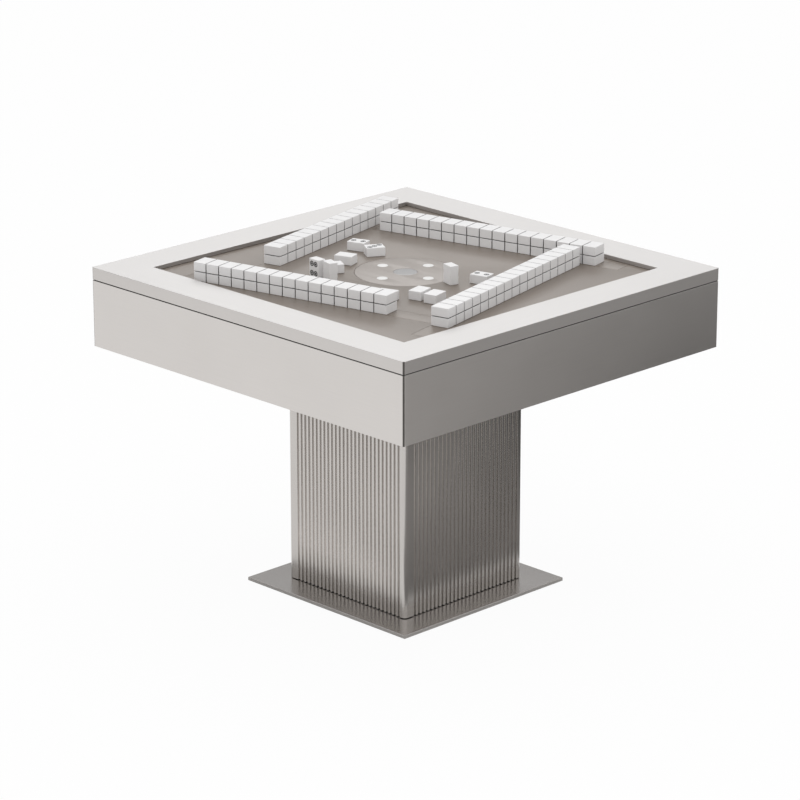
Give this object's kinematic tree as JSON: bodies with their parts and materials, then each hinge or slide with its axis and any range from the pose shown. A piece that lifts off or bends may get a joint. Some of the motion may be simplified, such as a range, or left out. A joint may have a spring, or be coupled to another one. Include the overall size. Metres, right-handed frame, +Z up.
{
  "type": "automatic_mahjong_table",
  "caption": "Square automatic mahjong table with brushed steel top and body on a fluted square column and base plate, grey cloth, round console and rows of white tiles",
  "frame": {"origin": "floor level under the middle of the table", "axes": "+Z up, -Y the front side and +X the right side, the two sides seen in the picture"},
  "size_m": [1, 1, 0.7903],
  "materials": {
    "steel": "satin brushed stainless steel",
    "dark_trim": "dark satin strip",
    "rubber": "black rubber",
    "frame_steel": "grey powder coat",
    "timber": "plywood",
    "cloth": "short warm grey nap",
    "tile": "polished white resin",
    "console_glass": "smooth tinted glass",
    "button_white": "white plastic",
    "lens": "frosted light grey",
    "black_plastic": "black moulded plastic",
    "drum_plastic": "grey moulded plastic",
    "motor_metal": "plain metal",
    "circuit": "green circuit board"
  },
  "bodies": {
    "table": {"base_plate": "steel", "column_corner_posts": "steel", "fluted_panel_front": "steel", "fluted_panel_right": "steel", "fluted_panel_back": "steel", "fluted_panel_left": "steel", "apron_front": "steel", "apron_right": "steel", "apron_back": "steel", "apron_left": "steel", "rail_front": "steel", "rail_right": "steel", "rail_back": "steel", "rail_left": "steel", "corner_strips": "dark_trim", "base_pads": "rubber", "seam_gasket": "rubber", "drive_belt": "rubber", "column_post": "frame_steel", "chassis_pan": "frame_steel", "frame_posts": "frame_steel", "lift_guides": "frame_steel", "console_actuator": "frame_steel", "pickup_brackets": "frame_steel", "column_bolts": "frame_steel", "board_bearers": "timber", "play_board": "timber", "play_cloth": "cloth", "power_inlet": "black_plastic", "shuffle_bowl": "black_plastic", "tile_chutes": "black_plastic", "lift_actuators": "motor_metal", "drive_motor": "motor_metal", "power_supply": "motor_metal", "control_board": "circuit"},
    "lift_front": {"lift_tray_front": "cloth", "tile_wall_front": "tile"},
    "lift_right": {"lift_tray_right": "cloth", "tile_wall_right": "tile"},
    "lift_back": {"lift_tray_back": "cloth", "tile_wall_back": "tile"},
    "lift_left": {"lift_tray_left": "cloth", "tile_wall_left": "tile"},
    "console": {"console_glass": "console_glass", "console_housing": "black_plastic", "console_board": "circuit", "console_lens": "lens", "console_stem": "frame_steel"},
    "button_front": {"button_front": "button_white"},
    "button_right": {"button_right": "button_white"},
    "button_back": {"button_back": "button_white"},
    "button_left": {"button_left": "button_white"},
    "shuffle_disc": {"shuffle_disc": "drum_plastic"},
    "drive_pulley": {"drive_pulley": "drum_plastic"},
    "pickup_front": {"pickup_wheel_front": "drum_plastic"},
    "pickup_right": {"pickup_wheel_right": "drum_plastic"},
    "pickup_back": {"pickup_wheel_back": "drum_plastic"},
    "pickup_left": {"pickup_wheel_left": "drum_plastic"},
    "loose_tiles": {"loose_tiles": "tile"}
  },
  "joints": [
    {"name": "lift_front", "type": "slide", "parent": "table", "child": "lift_front", "axis": [0, 0, 1], "range_m": [-0.065, 0]},
    {"name": "lift_right", "type": "slide", "parent": "table", "child": "lift_right", "axis": [0, 0, 1], "range_m": [-0.065, 0]},
    {"name": "lift_back", "type": "slide", "parent": "table", "child": "lift_back", "axis": [0, 0, 1], "range_m": [-0.065, 0]},
    {"name": "lift_left", "type": "slide", "parent": "table", "child": "lift_left", "axis": [0, 0, 1], "range_m": [-0.065, 0]},
    {"name": "console_lift", "type": "slide", "parent": "table", "child": "console", "axis": [0, 0, 1], "range_m": [0, 0.075]},
    {"name": "press_front", "type": "slide", "parent": "console", "child": "button_front", "axis": [0, 0, 1], "range_m": [-0.002, 0], "stiffness_N_per_m": 400, "springref_m": 0.001},
    {"name": "press_right", "type": "slide", "parent": "console", "child": "button_right", "axis": [0, 0, 1], "range_m": [-0.002, 0], "stiffness_N_per_m": 400, "springref_m": 0.001},
    {"name": "press_back", "type": "slide", "parent": "console", "child": "button_back", "axis": [0, 0, 1], "range_m": [-0.002, 0], "stiffness_N_per_m": 400, "springref_m": 0.001},
    {"name": "press_left", "type": "slide", "parent": "console", "child": "button_left", "axis": [0, 0, 1], "range_m": [-0.002, 0], "stiffness_N_per_m": 400, "springref_m": 0.001},
    {"name": "shuffle_spin", "type": "hinge", "parent": "table", "child": "shuffle_disc", "pos_m": [0, 0, 0.62], "axis": [0, 0, 1], "continuous": true},
    {"name": "pulley_spin", "type": "hinge", "parent": "table", "child": "drive_pulley", "pos_m": [0.12, 0, 0.61], "axis": [0, 0, 1], "continuous": true},
    {"name": "pickup_front", "type": "hinge", "parent": "table", "child": "pickup_front", "pos_m": [0.05369, -0.22366, 0.6597], "axis": [0.9724, 0.2334, 0], "continuous": true},
    {"name": "pickup_right", "type": "hinge", "parent": "table", "child": "pickup_right", "pos_m": [0.22366, 0.05369, 0.6597], "axis": [-0.2334, 0.9724, 0], "continuous": true},
    {"name": "pickup_back", "type": "hinge", "parent": "table", "child": "pickup_back", "pos_m": [-0.05369, 0.22366, 0.6597], "axis": [-0.9724, -0.2334, 0], "continuous": true},
    {"name": "pickup_left", "type": "hinge", "parent": "table", "child": "pickup_left", "pos_m": [-0.22366, -0.05369, 0.6597], "axis": [0.2334, -0.9724, 0], "continuous": true},
    {"name": "loose_tiles_off", "type": "slide", "parent": "table", "child": "loose_tiles", "axis": [0, 0, 1], "range_m": [0, 0.15]}
  ],
  "couplings": [
    {"joint": "pulley_spin", "follows": "shuffle_spin", "ratio": 3.6708}
  ]
}
